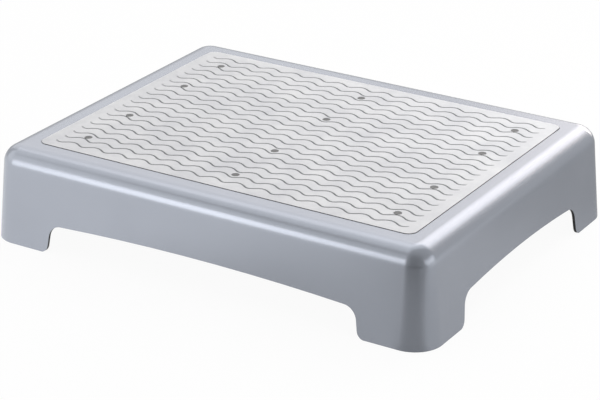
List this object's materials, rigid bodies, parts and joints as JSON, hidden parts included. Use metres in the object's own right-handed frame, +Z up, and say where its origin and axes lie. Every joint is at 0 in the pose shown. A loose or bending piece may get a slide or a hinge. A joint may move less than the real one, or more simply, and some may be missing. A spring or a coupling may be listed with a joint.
{
  "type": "half step",
  "caption": "Low moulded step with corner legs, arched openings on every side, and a wave-grooved tread mat riveted into its deck.",
  "frame": {"origin": "on the ground under the middle of the step", "axes": "+X along the long side, +Y from the front to the back, +Z up"},
  "size_m": [0.512, 0.398, 0.1005],
  "materials": {
    "shell": "satin silver moulded plastic",
    "mat": "matt pale grey rubber",
    "rivets": "matt mid-grey plastic"
  },
  "bodies": {
    "root": {"step_body": "shell", "tread_mat": "mat", "mat_rivets": "rivets"}
  },
  "joints": []
}
